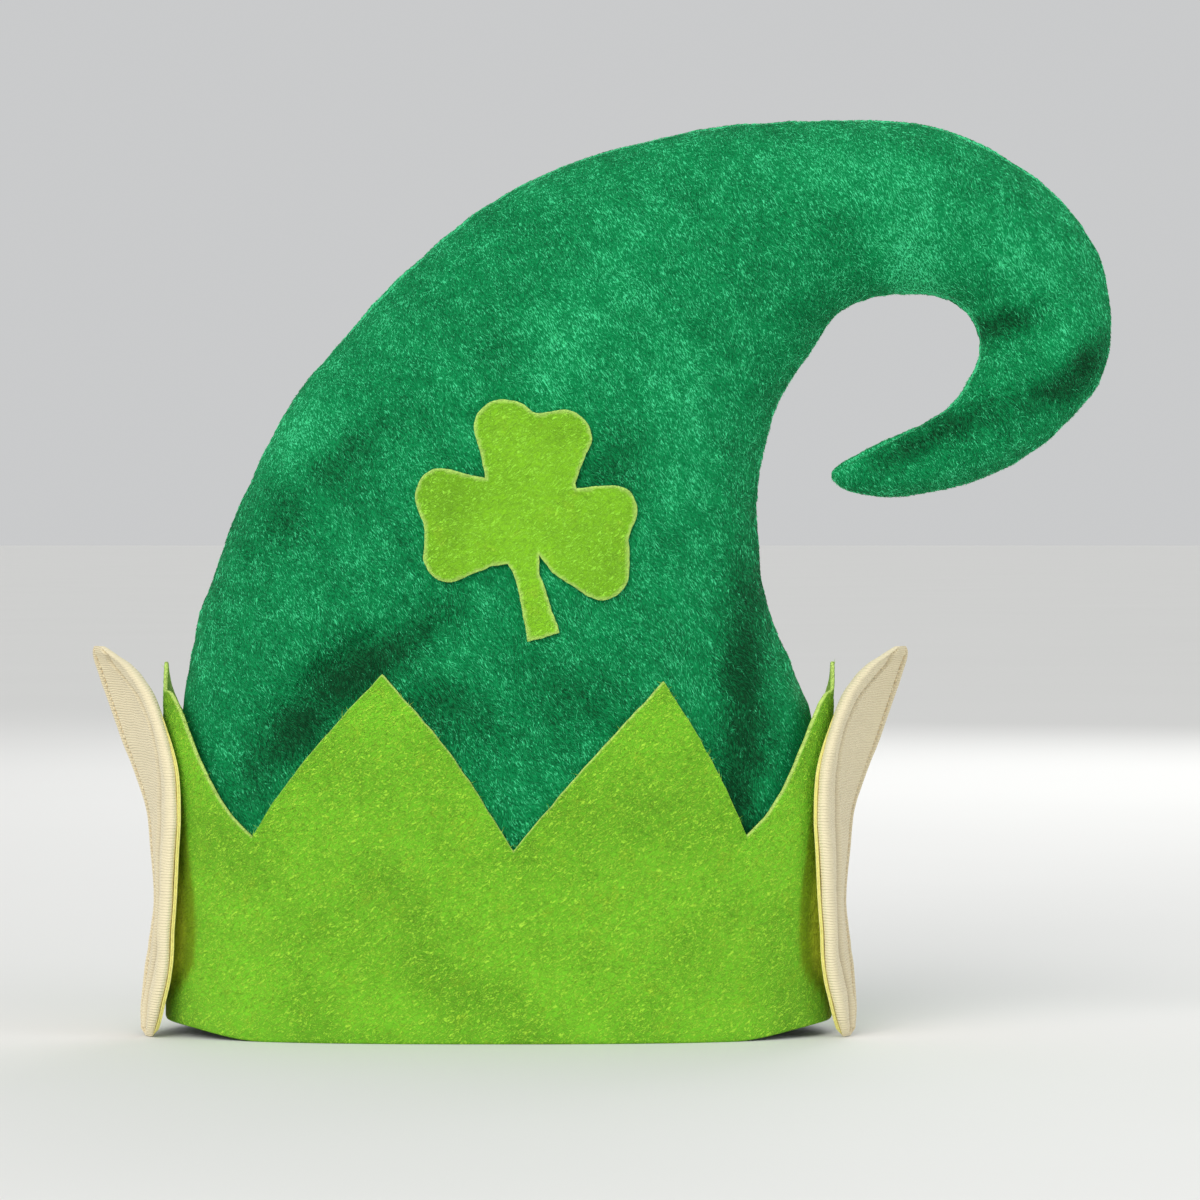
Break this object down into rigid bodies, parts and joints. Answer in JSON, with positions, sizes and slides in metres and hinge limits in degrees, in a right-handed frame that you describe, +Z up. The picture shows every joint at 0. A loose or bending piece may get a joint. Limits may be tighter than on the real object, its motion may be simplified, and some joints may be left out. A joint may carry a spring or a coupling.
{
  "type": "leprechaun hat",
  "caption": "Soft costume hat with a hollow plush crown that bends over into a hook, a felt cuff cut in points, a felt shamrock and padded pointed ears.",
  "frame": {"origin": "under the middle of the whole hat, on the surface that the rim stands on; the middle of the rim is 37.1 mm to -X of it", "axes": "+X from the left ear to the right ear, towards the hook; the front with the shamrock faces -Y; +Z up"},
  "size_m": [0.3836, 0.0988, 0.341],
  "materials": {
    "green_plush": "dark green short-pile polyester plush, brushed in patches",
    "lime_felt": "lime green needled felt, cut edges",
    "leaf_felt": "yellow-green needled felt, cut edges",
    "cream_knit": "cream ribbed knit over padding"
  },
  "bodies": {
    "root": {"crown": "green_plush", "cuff": "lime_felt", "shamrock": "leaf_felt", "ear_left": "cream_knit", "ear_right": "cream_knit"}
  },
  "joints": []
}
